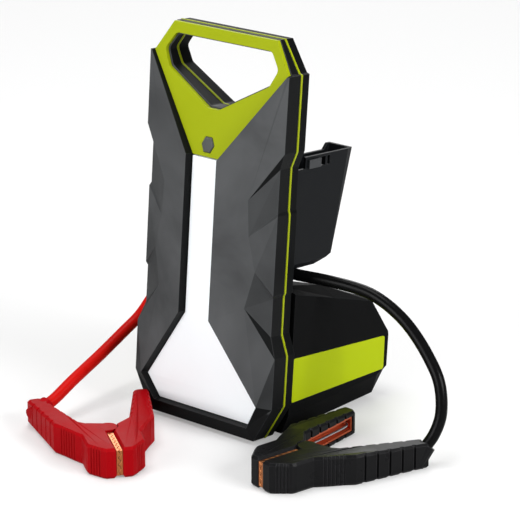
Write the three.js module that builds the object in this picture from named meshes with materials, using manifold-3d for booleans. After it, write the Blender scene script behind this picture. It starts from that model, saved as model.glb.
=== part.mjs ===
// Jump starter pack: a flat lamp body that leans back on a battery box, with a carrying handle,
// two clamp pockets, two short leads and two spring clamps.
// Millimetres, +Z up, the lamp faces -Y, origin on the ground under the middle of the pack.
import * as THREE from "three";
import { mergeVertices } from "three/addons/utils/BufferGeometryUtils.js";
import Module from "manifold-3d";

const wasm = await Module();
wasm.setup();

// ---------------------------------------------------------------------------------------------
// Driving dimensions
// ---------------------------------------------------------------------------------------------
const GAP = 0.3; // clearance between pieces that touch
const PRESS = 0.4; // how far the trim stands proud of the shells
const LEAN = THREE.MathUtils.degToRad(4.8); // backward lean of the lamp body

// Lamp body, in its own leaning frame: x right, y back from the side edges, z up along the body.
const BODY_HEIGHT = 298;
const BODY_HALF = 66.4; // half width at the foot
const BODY_BOTTOM = 3;
const FRONT_DEPTH = 12.8; // side wall of the front shell
const TRIM_WIDTH = 1.7;
const REAR_DEPTH = 10.5;
const SHELL_WALL = 3;

// Outline of the body, as steps in from the foot's half width.
const TOP_STEP = 1.5;
const WAIST_STEP = 6.1;
const MID_STEP = 5.1;
const HANDLE_STEP = 18;
const FOOT_STEP = 15.6;
const SHOULDER_DROP = 23; // shoulder below the top
const FOOT_CHAMFER = 27.8;

// Face: the lamp strip stands furthest forward, and the face slopes back above and below it.
const STRIP_FORWARD = 8.5;
const TOP_SET_BACK = 5.5;
const WIDE_SET_BACK = 0.3;
const LOW_SET_BACK = 3.9;
const RIDGE = 6; // ridges of the armour above the face
const RIDGE_DRAFT = 1.5;

// Coloured plate and lamp lens, which share one seat depth.
const PLATE = 3;
const TIP_DROP = 90.6; // plate tip below the top
const TIP_HALF = 12.7;
const NECK_HEIGHT = 88.7; // where the lamp strip widens
const WIDE_HEIGHT = 30.5;
const WIDE_STEP = 12.3;
const LENS_FOOT = 13.2;
const LENS_FOOT_STEP = 22.1;
const LEDGE = 2.6; // seat under the lens edge
const LAMP_DEPTH = 5.2; // room behind the lens
const BOARD = 1.6;
const LED = 2.8;

// Handle opening.
const GRIP_BAR = 8.2;
const HOLE_TOP_STEP = 3.6; // opening in from the bar's ends
const HOLE_SIDE_STEP = 13.2;
const HOLE_WIDE_DROP = 20.5;
const HOLE_LOW_DROP = 33;
const HOLE_TIP_DROP = 56.4;
const HOLE_RIM = 1.2; // rim of the shells inside the plate's opening

// Power button.
const BUTTON_HALF = 5.7;
const BUTTON_PROUD = 1;
const BUTTON_TRAVEL = 0.9;
const BUTTON_LIFT = 8.6; // button centre above the plate's tip

// Battery box.
const BOX_LENGTH = 119; // from the rear shell to the box's rear face
const BOX_HALF = 62;
const BOX_TAPER = 1.5;
const BOX_LEAN_IN = 1; // upper edges of the sides lean in towards the rear
const BOX_TOP = 112;
const BOX_RIDGE = 46; // two ridges along the top, a little way in from its sides
const BOX_RIDGE_LIFT = [3, 7, 1.5]; // their height above the side edges: front, middle, rear
const BOX_VALLEY_LIFT = [0.4, 3.2, -2]; // the same for the shallow dish between them
const BOX_MIDDLE = 49; // the middle row's distance behind the front
const BOX_TOP_FALL = 23;
const BOX_REAR_TOP = 61;
const BOX_REAR_LOW = 29.8;
const BOX_TOP_CHAMFER = 22.8;
const BOX_LOW_CHAMFER = 11.5;
const BOX_WALL = 3;
const FOOT_HEIGHT = 2.4;
const FOOT_RADIUS = 7;
const FOOT_SEAT = 1; // how deep a foot sits in the base cover
const BASE = 2.6;

// Side panels.
const PANEL_THICK = 1.6;
const PANEL_RADIUS = 2.4;

// Clamp pockets.
const POCKET_HEIGHT = 209;
const POCKET_BOTTOM = 125.5;
const POCKET_REACH = 73.5;
const POCKET_NARROW = 20;
const POCKET_INNER = 27.5;
const POCKET_WIDTH = 23;
const POCKET_WALL = 2.2;
const POCKET_TAB = [20, 33.5]; // from and to, behind the rear shell
const POCKET_SLOTS = [[35.5, 40.5], [42.5, 45.5]];

// Port block between the pockets.
const PORT_HEIGHT = 168;
const PORT_HALF = 18;
const PORT_TALL = 17;
const PORT_PROUD = 2;
const COVER = 2;

// Leads and their glands.
const LEAD_RADIUS = 4.4;
const GLAND_X = 15;
const GLAND_LIFT = 8.4; // gland axis above the top of the box
const GLAND_FLANGE = 3.4;
const BOOT_LENGTH = 21; // the tapered boot that turns a lead outwards
const BOOT_BEND = THREE.MathUtils.degToRad(80);
const BOOT_RINGS = 10;

// Clamps: x from the nose to the tail, y across, z along the pivot.
const CLAMP_HEIGHT = 23;
const TAIL_SLIM = 0.19; // how much lower the tail is than the nose
const CABLE_ARM = 119.5;
const LEVER_ARM = 119;
const PIVOT_X = 43;
const NOSE_HALF = 21.4;
const NOSE_INNER = 2.4;
const FLARE_START = 31; // where an arm turns outwards behind the jaw
const GRIP_START = 57;
const GRIP_OUTER = 37.2; // at the start of the grip
const GRIP_INNER = 18.4;
const OUTER_SPREAD = THREE.MathUtils.degToRad(8.2);
const INNER_SPREAD = THREE.MathUtils.degToRad(14.5);
const GRIP_BEVEL = 2;
const GROOVE = 1.7;
const RIB = 0.7;
const SEGMENT = 10.4;
const CHANNEL_WALL = 3;
const LINER_WALL = 1.3;
const CHANNEL = [3.4, CLAMP_HEIGHT * (1 - TAIL_SLIM) - CHANNEL_WALL]; // heights of the open channel
const TOOTH = 1.1;
const PIN_RADIUS = 2.4;
const KNUCKLE = 7;
const WIRE = 0.9;

// Where the clamps lie on the ground, and the points their leads pass through.
const RED_PLACE = [17.5, -177.2, 0];
const RED_TURN = THREE.MathUtils.degToRad(144.3);
const BLACK_PLACE = [106, -129.2, 0];
const BLACK_TURN = THREE.MathUtils.degToRad(79);
const LEAD_STEPS = 40;
const RED_ROUTE = [
  [-46.5, -14.4, 114.3],
  [-58.5, -10.6, 110.3],
  [-70.5, -7.8, 102.8],
  [-81, -9, 92],
  [-89, -13.6, 79],
  [-93.6, -21.6, 66],
  [-96, -31.5, 55.5],
  [-97.5, -46, 47.5],
  [-98, -61, 40.5],
  [-97.2, -76, 35],
  [-96, -92, 30],
  [-94.8, -109, 24.5],
];
const BLACK_ROUTE = [
  [47, -14.2, 115.3],
  [62, -10, 114.6],
  [78, -6.2, 113.6],
  [92, -3.4, 112.2],
  [103.5, -1.9, 110.2],
  [113.5, -1.4, 107],
  [123.5, -1.2, 102.5],
  [134.5, -1.2, 95.8],
  [145, -1.5, 87],
  [156.6, -3, 75.5],
  [168, -5.6, 61.5],
  [172.7, -7.7, 48.5],
  [174, -10.2, 35],
];

// ---------------------------------------------------------------------------------------------
// Materials
// ---------------------------------------------------------------------------------------------
const paint = (color, roughness, metalness = 0) =>
  new THREE.MeshStandardMaterial({ color, roughness, metalness });
const BLACK = paint(0x202224, 0.62);
const LIME = paint(0xb4c814, 0.45);
const DIFFUSER = paint(0xf4f6f6, 0.5);
const GREY = paint(0x4a4e50, 0.5);
const BOARD_GREEN = paint(0x1f5a34, 0.6);
const BATTERY = paint(0x2a3d6a, 0.55);
const STEEL = paint(0xb8bcc0, 0.3, 1);
const COPPER = paint(0xc0602c, 0.35, 1);
const LINER = paint(0xb43a1e, 0.4, 0.6);
const RUBBER = paint(0x141414, 0.85);
const RED = paint(0xc01020, 0.45);
const CLAMP_BLACK = paint(0x18191b, 0.5);

// ---------------------------------------------------------------------------------------------
// Solids: closed meshes joined and cut
// ---------------------------------------------------------------------------------------------
function solid(geometry) {
  const bare = geometry.index ? geometry.toNonIndexed() : geometry.clone();
  bare.deleteAttribute("normal");
  bare.deleteAttribute("uv");
  const merged = mergeVertices(bare, 1e-4);
  const index = merged.index.array;
  const kept = [];
  for (let i = 0; i < index.length; i += 3) {
    const [a, b, c] = [index[i], index[i + 1], index[i + 2]];
    if (a !== b && b !== c && c !== a) kept.push(a, b, c);
  }
  return new wasm.Manifold(
    new wasm.Mesh({
      numProp: 3,
      vertProperties: merged.attributes.position.array,
      triVerts: new Uint32Array(kept),
    }),
  );
}

function geometryOf(body) {
  const mesh = body.getMesh();
  const geometry = new THREE.BufferGeometry();
  const flat = new Float32Array(mesh.numVert * 3);
  for (let i = 0; i < mesh.numVert; i++)
    flat.set(mesh.vertProperties.subarray(i * mesh.numProp, i * mesh.numProp + 3), i * 3);
  geometry.setAttribute("position", new THREE.BufferAttribute(flat, 3));
  geometry.setIndex(new THREE.BufferAttribute(mesh.triVerts, 1));
  const sharp = geometry.toNonIndexed();
  sharp.computeVertexNormals();
  return sharp;
}

const meshOf = (name, body, material) => {
  const mesh = new THREE.Mesh(geometryOf(body), material);
  mesh.name = name;
  return mesh;
};

// A prism: an outline drawn across the named axis and pushed along it from one place to another.
function prism(axis, outline, from, to) {
  const shape = new THREE.Shape(outline.map(([a, b]) => new THREE.Vector2(a, b)));
  const made = new THREE.ExtrudeGeometry(shape, { depth: to - from, bevelEnabled: false });
  const turn = {
    x: [new THREE.Vector3(0, 1, 0), new THREE.Vector3(0, 0, 1), new THREE.Vector3(1, 0, 0), from],
    y: [new THREE.Vector3(1, 0, 0), new THREE.Vector3(0, 0, 1), new THREE.Vector3(0, -1, 0), -to],
    z: [new THREE.Vector3(1, 0, 0), new THREE.Vector3(0, 1, 0), new THREE.Vector3(0, 0, 1), from],
  }[axis];
  made.translate(0, 0, turn[3]);
  return made.applyMatrix4(new THREE.Matrix4().makeBasis(turn[0], turn[1], turn[2]));
}
const block = (x, y, z) => {
  const made = new THREE.BoxGeometry(x[1] - x[0], y[1] - y[0], z[1] - z[0]);
  return made.translate((x[0] + x[1]) / 2, (y[0] + y[1]) / 2, (z[0] + z[1]) / 2);
};

// A round piece about a line along the named axis, from a profile of [radius, place].
function turned(axis, profile, centre, sides = 20) {
  const points = profile.map(([r, h]) => new THREE.Vector2(r, h));
  const made = new THREE.LatheGeometry(points, sides);
  if (axis === "z") made.rotateX(Math.PI / 2);
  if (axis === "x") made.rotateZ(-Math.PI / 2);
  return made.translate(...centre);
}
const rod = (axis, radius, from, to, centre, sides = 20) =>
  turned(axis, [[0, from], [radius, from], [radius, to], [0, to]], centre, sides);

// A skin through loops of points, closed at both ends.
// Ends are flat outlines, or, with mirrored loops, strips between each point and its mirror image.
function skin(loops, ends = "flat") {
  const count = loops[0].length;
  const half = count / 2;
  const corners = [];
  const face = (...points) => points.forEach((p) => corners.push(...p));
  const quad = (a, b, c, d, turnedWay) => {
    if (turnedWay) {
      face(a, b, d);
      face(b, c, d);
    } else {
      face(a, b, c);
      face(a, c, d);
    }
  };
  for (let k = 0; k + 1 < loops.length; k++)
    for (let i = 0; i < count; i++) {
      const j = (i + 1) % count;
      quad(loops[k][i], loops[k][j], loops[k + 1][j], loops[k + 1][i], i >= half);
    }
  const last = loops.length - 1;
  if (ends === "mirror")
    for (let i = 0; i + 1 < half; i++) {
      const across = count - 1 - i;
      quad(loops[0][i + 1], loops[0][i], loops[0][across], loops[0][across - 1], false);
      quad(loops[last][i], loops[last][i + 1], loops[last][across - 1], loops[last][across], false);
    }
  else
    for (const [loop, flip] of [[loops[0], true], [loops[last], false]]) {
      const normal = new THREE.Vector3();
      const [v, w] = [new THREE.Vector3(), new THREE.Vector3()];
      for (let i = 0; i < count; i++)
        normal.add(v.fromArray(loop[i]).cross(w.fromArray(loop[(i + 1) % count])));
      normal.normalize();
      const across = new THREE.Vector3(...(Math.abs(normal.x) < 0.9 ? [1, 0, 0] : [0, 1, 0]));
      const up = new THREE.Vector3().crossVectors(normal, across).normalize();
      across.crossVectors(up, normal);
      const flat = loop.map((p) => {
        v.fromArray(p);
        return new THREE.Vector2(v.dot(across), v.dot(up));
      });
      for (const [a, b, c] of THREE.ShapeUtils.triangulateShape(flat, []))
        if (flip) face(loop[a], loop[c], loop[b]);
        else face(loop[a], loop[b], loop[c]);
    }
  const made = new THREE.BufferGeometry();
  made.setAttribute("position", new THREE.Float32BufferAttribute(corners, 3));
  return made;
}

// Outlines: lists of [a, b] points.
const mirrored = (right) => [...right, ...right.map(([x, z]) => [-x, z]).reverse()];

// The outline moved inwards by a distance; a negative distance moves it outwards.
function inset(outline, distance) {
  const count = outline.length;
  let area = 0;
  outline.forEach(([x, y], i) => {
    const [p, q] = outline[(i + 1) % count];
    area += x * q - p * y;
  });
  const side = area > 0 ? 1 : -1;
  return outline.map((point, i) => {
    const here = new THREE.Vector2(...point);
    const before = new THREE.Vector2(...outline[(i + count - 1) % count]);
    const after = new THREE.Vector2(...outline[(i + 1) % count]);
    const into = here.clone().sub(before).normalize();
    const away = after.clone().sub(here).normalize();
    const normal = new THREE.Vector2(-into.y - away.y, into.x + away.x).multiplyScalar(side).normalize();
    const spread = Math.max(0.35, normal.dot(new THREE.Vector2(-into.y, into.x).multiplyScalar(side)));
    return here.add(normal.multiplyScalar(distance / spread)).toArray();
  });
}

// The outline with its corners rounded by arcs.
function rounded(outline, radius, steps = 4) {
  const count = outline.length;
  return outline.flatMap((point, i) => {
    const here = new THREE.Vector2(...point);
    const back = new THREE.Vector2(...outline[(i + count - 1) % count]).sub(here);
    const on = new THREE.Vector2(...outline[(i + 1) % count]).sub(here);
    const reach = Math.min(back.length(), on.length()) * 0.48;
    const cosine = back.clone().normalize().dot(on.clone().normalize());
    const halfAngle = Math.acos(THREE.MathUtils.clamp(cosine, -1, 1)) / 2;
    const cut = Math.min(radius / Math.tan(halfAngle), reach);
    if (cut < 0.05) return [point];
    const start = here.clone().add(back.setLength(cut));
    const end = here.clone().add(on.setLength(cut));
    const arc = new THREE.QuadraticBezierCurve(start, here, end);
    return arc.getPoints(steps).map((p) => p.toArray());
  });
}

// ---------------------------------------------------------------------------------------------
// Lamp body: outlines
// ---------------------------------------------------------------------------------------------
const TRIM_FRONT = FRONT_DEPTH + GAP;
const REAR_FRONT = TRIM_FRONT + TRIM_WIDTH + GAP;
const REAR_FACE = REAR_FRONT + REAR_DEPTH;
const SHOULDER = BODY_HEIGHT - SHOULDER_DROP;
const TIP = BODY_HEIGHT - TIP_DROP;
const SEAT = PLATE + GAP;
const top = BODY_HALF - TOP_STEP;
const waist = BODY_HALF - WAIST_STEP;
const mid = BODY_HALF - MID_STEP;
const handle = BODY_HALF - HANDLE_STEP;
const plateShoulder = top - 2.4;

// Right edge of the body from the top down: handle, shoulder, waist between two notches, foot.
const bodyRight = [
  [handle, BODY_HEIGHT],
  [plateShoulder + GAP, SHOULDER + 0.7],
  [top + 0.2, SHOULDER],
  [top, TIP + 12.3],
  [waist, TIP],
  [waist, TIP - 31.4],
  [mid, TIP - 34],
  [mid, NECK_HEIGHT + 26.3],
  [waist, NECK_HEIGHT + 23.9],
  [waist + 0.2, NECK_HEIGHT - 4.7],
  [BODY_HALF, NECK_HEIGHT - 19.7],
  [BODY_HALF, BODY_BOTTOM + FOOT_CHAMFER],
  [BODY_HALF - FOOT_STEP, BODY_BOTTOM],
];
const bodyOutline = mirrored(bodyRight);

const plateRight = [
  [handle - GAP, BODY_HEIGHT - GAP],
  [plateShoulder, SHOULDER],
  [TIP_HALF, TIP],
];
const lensRight = [
  [TIP_HALF, TIP - 1],
  [TIP_HALF, NECK_HEIGHT],
  [BODY_HALF - WIDE_STEP, WIDE_HEIGHT],
  [BODY_HALF - LENS_FOOT_STEP, LENS_FOOT],
];
const holeRight = [
  [handle - HOLE_TOP_STEP, BODY_HEIGHT - GRIP_BAR],
  [BODY_HALF - HOLE_SIDE_STEP, BODY_HEIGHT - HOLE_WIDE_DROP],
  [BODY_HALF - HOLE_SIDE_STEP - 6.2, BODY_HEIGHT - HOLE_LOW_DROP],
  [5, BODY_HEIGHT - HOLE_TIP_DROP],
];
const plateHole = rounded(mirrored(holeRight), 5);
const shellHole = rounded(inset(mirrored(holeRight), HOLE_RIM), 4);

// Depth of the face at a height.
const FACE = [
  [BODY_HEIGHT, TOP_SET_BACK],
  [TIP, -STRIP_FORWARD],
  [NECK_HEIGHT, -STRIP_FORWARD],
  [WIDE_HEIGHT, WIDE_SET_BACK],
  [LENS_FOOT, LOW_SET_BACK],
];
function faceDepth(z) {
  let i = FACE.findIndex(([height]) => height < z);
  i = i < 0 ? FACE.length - 1 : Math.max(i, 1);
  const [[z0, y0], [z1, y1]] = [FACE[i - 1], FACE[i]];
  return y0 + ((z - z0) * (y1 - y0)) / (z1 - z0);
}

// A sheet that follows the face between two depths below it, cut to an outline.
function sheet(outline, from, to) {
  const heights = [BODY_HEIGHT + 20, ...FACE.slice(1, -1).map(([z]) => z), -20];
  const band = [
    ...heights.map((z) => [faceDepth(z) + from, z]),
    ...heights.map((z) => [faceDepth(z) + to, z]).reverse(),
  ];
  const reach = BODY_HALF + 20;
  return solid(prism("x", band, -reach, reach)).intersect(solid(prism("y", outline, -60, 60)));
}

// ---------------------------------------------------------------------------------------------
// Lamp body: pieces
// ---------------------------------------------------------------------------------------------
const HOLE_CUT = solid(prism("y", shellHole, -40, 60));
const BUTTON_Z = TIP + BUTTON_LIFT;
const BUTTON_TILT = Math.atan2(TOP_SET_BACK + STRIP_FORWARD, TIP_DROP);
const SCREW_DEEP = 1.6;
const SCREW_RADIUS = 3;
const SCREW_SPOTS = [
  [waist - 5.5, TIP - 12],
  [waist - 5.5, NECK_HEIGHT + 40],
];

// Armour rows from the top down. Each holds the side edge, the crease, the ridge and the seat.
function armourRows() {
  const ridgeX = TIP_HALF + GAP + RIDGE_DRAFT;
  const ridgeY = -STRIP_FORWARD - RIDGE;
  const slope = -ridgeY / (top - ridgeX);
  const plane = (x) => ridgeY + (x - ridgeX) * slope;
  const crease = (x, z) => [x, plane(x), z];
  const seat = (x, z) => [x, faceDepth(z) + SEAT, z];
  const edge = (i, y) => [bodyRight[i][0], y, bodyRight[i][1]];
  const flush = (i) => {
    const point = edge(i, faceDepth(bodyRight[i][1]) + SEAT);
    return [point, point, point, point];
  };
  const shoulderRidge = [plateShoulder + 1, -0.6, SHOULDER - 0.3];
  const tip = [[ridgeX, ridgeY, TIP + 0.4], seat(TIP_HALF + GAP, TIP)];
  const strip = (z) => [[ridgeX, ridgeY, z], seat(TIP_HALF + GAP, z)];
  const neck = strip(NECK_HEIGHT + 0.3);
  const wideX = BODY_HALF - WIDE_STEP;
  const wide = [wideX + GAP + RIDGE_DRAFT, WIDE_SET_BACK - RIDGE, WIDE_HEIGHT + 1];
  const footX = BODY_HALF - LENS_FOOT_STEP;
  const foot = [footX + GAP + 0.4, LOW_SET_BACK - RIDGE, LENS_FOOT - 1];
  const upper = crease(waist - 20.5, TIP - 24.7);
  const upperMid = crease(waist - 18.7, TIP - 51.5);
  const lowerMid = crease(waist - 12.6, NECK_HEIGHT + 42.2);
  const lower = crease(waist - 19.1, NECK_HEIGHT + 14.3);
  const waistY = 1.8;
  const midY = 0.6;
  return [
    flush(0),
    flush(1),
    [edge(2, 0), shoulderRidge, shoulderRidge, seat(plateShoulder + GAP, SHOULDER - 0.4)],
    [edge(3, 0), upper, ...tip],
    [edge(4, waistY), upper, ...tip],
    [edge(5, waistY), upperMid, ...strip(TIP - 51.5)],
    [edge(6, midY), upperMid, ...strip(TIP - 51.5)],
    [edge(7, midY), lowerMid, ...strip(NECK_HEIGHT + 42.2)],
    [edge(8, waistY), lowerMid, ...strip(NECK_HEIGHT + 42.2)],
    [edge(9, waistY), lower, ...neck],
    [edge(10, 0), lower, ...neck],
    [edge(11, 0), wide, wide, seat(wideX + GAP, WIDE_HEIGHT)],
    [edge(12, 0), foot, foot, seat(footX + GAP, LENS_FOOT - GAP)],
  ];
}

function frontShell() {
  const loops = armourRows().map((row) => {
    const right = [[row[0][0], FRONT_DEPTH, row[0][2]], ...row];
    return [...right, ...right.map(([x, y, z]) => [-x, y, z]).reverse()];
  });
  let shell = solid(skin(loops, "mirror"));
  shell = shell.subtract(HOLE_CUT);
  shell = shell.subtract(sheet(inset(mirrored(lensRight), LEDGE), SEAT - 0.2, SEAT + LAMP_DEPTH));
  const room = mirrored([[mid - 12, TIP - 8], [mid - 12, NECK_HEIGHT - 20]]);
  shell = shell.subtract(sheet(room, SEAT + LAMP_DEPTH + 3, 60));
  return shell.subtract(buttonPocket());
}

const seamTrim = () => {
  const window = mirrored([
    [top - 9, TIP + 16],
    [waist - 9, TIP - 4],
    [waist - 9, NECK_HEIGHT],
    [BODY_HALF - 9, NECK_HEIGHT - 24],
    [BODY_HALF - 9, BODY_BOTTOM + FOOT_CHAMFER],
    [BODY_HALF - FOOT_STEP - 6, BODY_BOTTOM + 8],
  ]);
  const ring = solid(prism("y", inset(bodyOutline, -PRESS), TRIM_FRONT, TRIM_FRONT + TRIM_WIDTH));
  const opening = solid(prism("y", inset(shellHole, PRESS), -40, 60));
  return ring.subtract(solid(prism("y", window, 0, 40))).subtract(opening);
};

function rearShell() {
  const chamfer = 3;
  const at = (outline, y) => outline.map(([x, z]) => [x, y, z]);
  let shell = solid(
    skin([
      at(bodyOutline, REAR_FRONT),
      at(bodyOutline, REAR_FACE - chamfer),
      at(inset(bodyOutline, chamfer * 0.9), REAR_FACE),
    ]),
  );
  shell = shell.subtract(HOLE_CUT);
  const room = mirrored([
    [waist - SHELL_WALL - 8, TIP - 4],
    [waist - SHELL_WALL - 8, BODY_BOTTOM + FOOT_CHAMFER],
    [BODY_HALF - FOOT_STEP - 6, BODY_BOTTOM + 8],
  ]);
  shell = shell.subtract(solid(prism("y", room, 0, REAR_FACE - SHELL_WALL)));
  const pass = mirrored([[BOX_HALF - 16, BOX_TOP - 20], [BOX_HALF - 16, BODY_BOTTOM + 24]]);
  shell = shell.subtract(solid(prism("y", pass, 0, REAR_FACE + 5)));
  for (const side of [-1, 1]) {
    for (const [x, z] of SCREW_SPOTS)
      shell = shell.subtract(
        solid(rod("y", SCREW_RADIUS + GAP, REAR_FACE - 2.2, REAR_FACE + 1, [side * x, 0, z])),
      );
    shell = shell.subtract(
      solid(rod("y", GLAND_ROOT + GAP, 0, REAR_FACE + 1, [side * GLAND_X, 0, GLAND_Z])),
    );
  }
  const port = mirrored([
    [PORT_HALF + GAP, PORT_HEIGHT + PORT_TALL / 2 + GAP],
    [PORT_HALF + GAP, PORT_HEIGHT - PORT_TALL / 2 - GAP],
  ]);
  return shell.subtract(solid(prism("y", port, 0, REAR_FACE + 1)));
}

function handlePlate() {
  const outline = mirrored(plateRight);
  let plate = sheet(outline, 0, PLATE).subtract(solid(prism("y", plateHole, -40, 60)));
  return plate.subtract(atButton(prism("z", buttonOutline(GAP), -20, 20)));
}

const lampLens = () => sheet(mirrored(lensRight), 0, PLATE);

function ledBoard() {
  const outline = inset(mirrored(lensRight), LEDGE + 1);
  const below = SEAT + LAMP_DEPTH - BOARD - GAP;
  let board = sheet(outline, below, below + BOARD);
  const spots = [];
  for (let z = NECK_HEIGHT + 8; z < TIP - 12; z += 16) spots.push([0, z]);
  for (let z = WIDE_HEIGHT + 2; z < NECK_HEIGHT - 8; z += 16) {
    const share = (NECK_HEIGHT - z) / (NECK_HEIGHT - WIDE_HEIGHT);
    const reach = TIP_HALF + share * (BODY_HALF - WIDE_STEP - TIP_HALF) - LEDGE - 5;
    const count = Math.max(1, Math.round(reach / 13));
    for (let i = -count; i <= count; i++) spots.push([(i * reach) / count, z]);
  }
  for (const [x, z] of spots) {
    const y = faceDepth(z) + below;
    const chip = block([x - LED / 2, x + LED / 2], [y - 1.2, y + 0.9], [z - LED / 2, z + LED / 2]);
    board = board.add(solid(chip));
  }
  return board;
}

// Things on the button's axis are drawn along z, from the plate's face inwards.
function atButton(geometry) {
  const turn = new THREE.Matrix4().makeRotationX(-Math.PI / 2 - BUTTON_TILT);
  turn.setPosition(0, faceDepth(BUTTON_Z), BUTTON_Z);
  return solid(geometry.applyMatrix4(turn));
}
const buttonOutline = (grow) => {
  const r = BUTTON_HALF + grow * 1.15;
  const tall = BUTTON_HALF * 0.96 + grow;
  return [[r, 0], [r * 0.52, tall], [-r * 0.52, tall], [-r, 0], [-r * 0.52, -tall], [r * 0.52, -tall]];
};
const FLANGE = 1.4;
const FLANGE_THICK = 1;
const SWITCH_BODY = 6;
const SWITCH_DEPTH = PLATE + GAP + FLANGE_THICK + BUTTON_TRAVEL + 0.6;
const SWITCH_ROOM = SWITCH_DEPTH + 5.6;

const buttonPocket = () =>
  atButton(block([-10, 10], [-9, 9], [PLATE - 1, SWITCH_ROOM]));

function powerButton() {
  const at = (grow, z) => buttonOutline(grow).map(([x, y]) => [x, y, z]);
  const cap = atButton(skin([at(-0.8, -BUTTON_PROUD), at(0, -BUTTON_PROUD + 0.7), at(0, PLATE + 0.6)]));
  const flange = atButton(prism("z", buttonOutline(FLANGE), PLATE + GAP, PLATE + GAP + FLANGE_THICK));
  return cap.add(flange);
}

function buttonSwitch() {
  const half = SWITCH_BODY / 2;
  const stem = atButton(block([-1.6, 1.6], [-1.6, 1.6], [SWITCH_DEPTH, SWITCH_DEPTH + 1]));
  const body = atButton(block([-half, half], [-half, half], [SWITCH_DEPTH + 0.8, SWITCH_DEPTH + 3.6]));
  const board = atButton(block([-9.4, 9.4], [-8.4, 8.4], [SWITCH_DEPTH + 3.4, SWITCH_ROOM - GAP]));
  return stem.add(body).add(board);
}

function controlBoard() {
  const y = 8.6;
  let board = solid(block([-30, 30], [y, y + BOARD], [NECK_HEIGHT + 26, TIP - 24]));
  board = board.add(solid(block([-22, 2], [y + 1, y + 11], [NECK_HEIGHT + 34, NECK_HEIGHT + 58])));
  board = board.add(solid(block([10, 26], [y + 1, y + 9], [NECK_HEIGHT + 32, NECK_HEIGHT + 46])));
  for (const x of [-18, -6, 6, 18])
    board = board.add(solid(rod("y", 3.4, y + 1, y + 9, [x, 0, TIP - 34], 12)));
  return board;
}

const screw = (axis, place, centre) => {
  const head = solid(rod(axis, SCREW_RADIUS, ...place, centre, 16));
  const mark = (place[0] + place[1]) / 2;
  const [x, y, z] = centre;
  const slot = axis === "y"
    ? block([x - 2, x + 2], [mark, place[1] + 1], [z - 0.4, z + 0.4])
    : block([x - 2, x + 2], [y - 0.4, y + 0.4], [place[0] - 1, mark]);
  return head.subtract(solid(slot));
};

// ---------------------------------------------------------------------------------------------
// Battery box
// ---------------------------------------------------------------------------------------------
const BOX_FRONT = REAR_FACE + GAP;
const BOX_REAR = BOX_FRONT + BOX_LENGTH;
const GLAND_Z = BOX_TOP + GLAND_LIFT;
const GLAND_ROOT = 6.2;
// Height of the level underside at a depth, in the leaning frame.
const under = (y, lift = 0) => (FOOT_HEIGHT + lift + y * Math.sin(LEAN)) / Math.cos(LEAN);
const boxHalf = (y) => BOX_HALF - (BOX_TAPER * (y - BOX_FRONT)) / BOX_LENGTH;

// Loops from front to rear, each from the middle of the top round the right side to the floor.
// The inside has its floor below the housing's, so that the hatch opens into it.
function boxLoops(wall, inside) {
  const front = BOX_FRONT + wall;
  const middle = BOX_FRONT + BOX_MIDDLE;
  const knee = BOX_REAR - BOX_TOP_CHAMFER - wall * 0.4;
  const heel = BOX_REAR - BOX_LOW_CHAMFER - wall * 0.4;
  const rear = BOX_REAR - wall;
  const side = (y) => boxHalf(y) - wall;
  const floor = (y) => (inside ? under(y) - 5 : under(y));
  const edge = (y) => BOX_TOP - (BOX_TOP_FALL * (y - BOX_FRONT)) / (knee - BOX_FRONT) - wall;
  const crown = (y, row) => [
    [14, y, edge(y) + BOX_VALLEY_LIFT[row]],
    [BOX_RIDGE - wall, y, edge(y) + BOX_RIDGE_LIFT[row]],
    [side(y) - (row * BOX_LEAN_IN) / 2, y, edge(y)],
  ];
  const lower = (y, top, corner) => [
    [side(y), y, top],
    [side(y), y, under(y) + 15],
    [side(y) - corner, y, floor(y)],
  ];
  const right = [
    [...crown(front, 0), ...lower(front, BOX_REAR_TOP + 6, 6)],
    [...crown(middle, 1), ...lower(middle, BOX_REAR_TOP + 5, 5)],
    [...crown(knee, 2), [side(knee), knee, BOX_REAR_TOP + 3], ...lower(heel, 0, 4).slice(1)],
    [
      [14, rear, BOX_REAR_TOP - wall * 0.5],
      [BOX_RIDGE - wall, rear, BOX_REAR_TOP - wall * 0.5],
      [side(rear) - 0.4, rear, BOX_REAR_TOP - wall * 0.5],
      [side(rear), rear, BOX_REAR_TOP - 3 - wall * 0.5],
      [side(rear), rear, BOX_REAR_LOW + wall * 0.5 + 4],
      [side(rear) - 3, rear, BOX_REAR_LOW + wall * 0.5],
    ],
  ];
  return right.map((row) => [...row, ...row.map(([x, y, z]) => [-x, y, z]).reverse()]);
}

// The base cover's outline in plan, in the leaning frame.
const baseRight = [
  [BOX_HALF - 14, BOX_FRONT + 6],
  [BOX_HALF - 16.5, BOX_REAR - BOX_LOW_CHAMFER - 6],
];
const baseBand = (from, to) => {
  const ends = [BOX_FRONT - 20, BOX_REAR + 20];
  return [
    ...ends.map((y) => [y, under(y, from)]),
    ...ends.map((y) => [y, under(y, to)]).reverse(),
  ];
};
const FEET = [
  [BOX_HALF - 24, BOX_FRONT + 18],
  [BOX_HALF - 26, BOX_REAR - BOX_LOW_CHAMFER - 18],
];
const BASE_SCREWS = [
  [BOX_HALF - 20, BOX_FRONT + 40],
  [BOX_HALF - 22, BOX_REAR - BOX_LOW_CHAMFER - 42],
];

function batteryHousing() {
  const outer = solid(skin(boxLoops(0, false), "mirror"));
  let shell = outer.subtract(solid(skin(boxLoops(BOX_WALL, true), "mirror")).intersect(innerRoom()));
  const hatch = rounded(inset(mirrored(baseRight), -GAP), 5);
  shell = shell.subtract(solid(prism("z", hatch, -20, BOX_REAR_LOW)));
  for (const side of [-1, 1]) shell = shell.subtract(panel(side, GAP));
  return shell;
}
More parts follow.
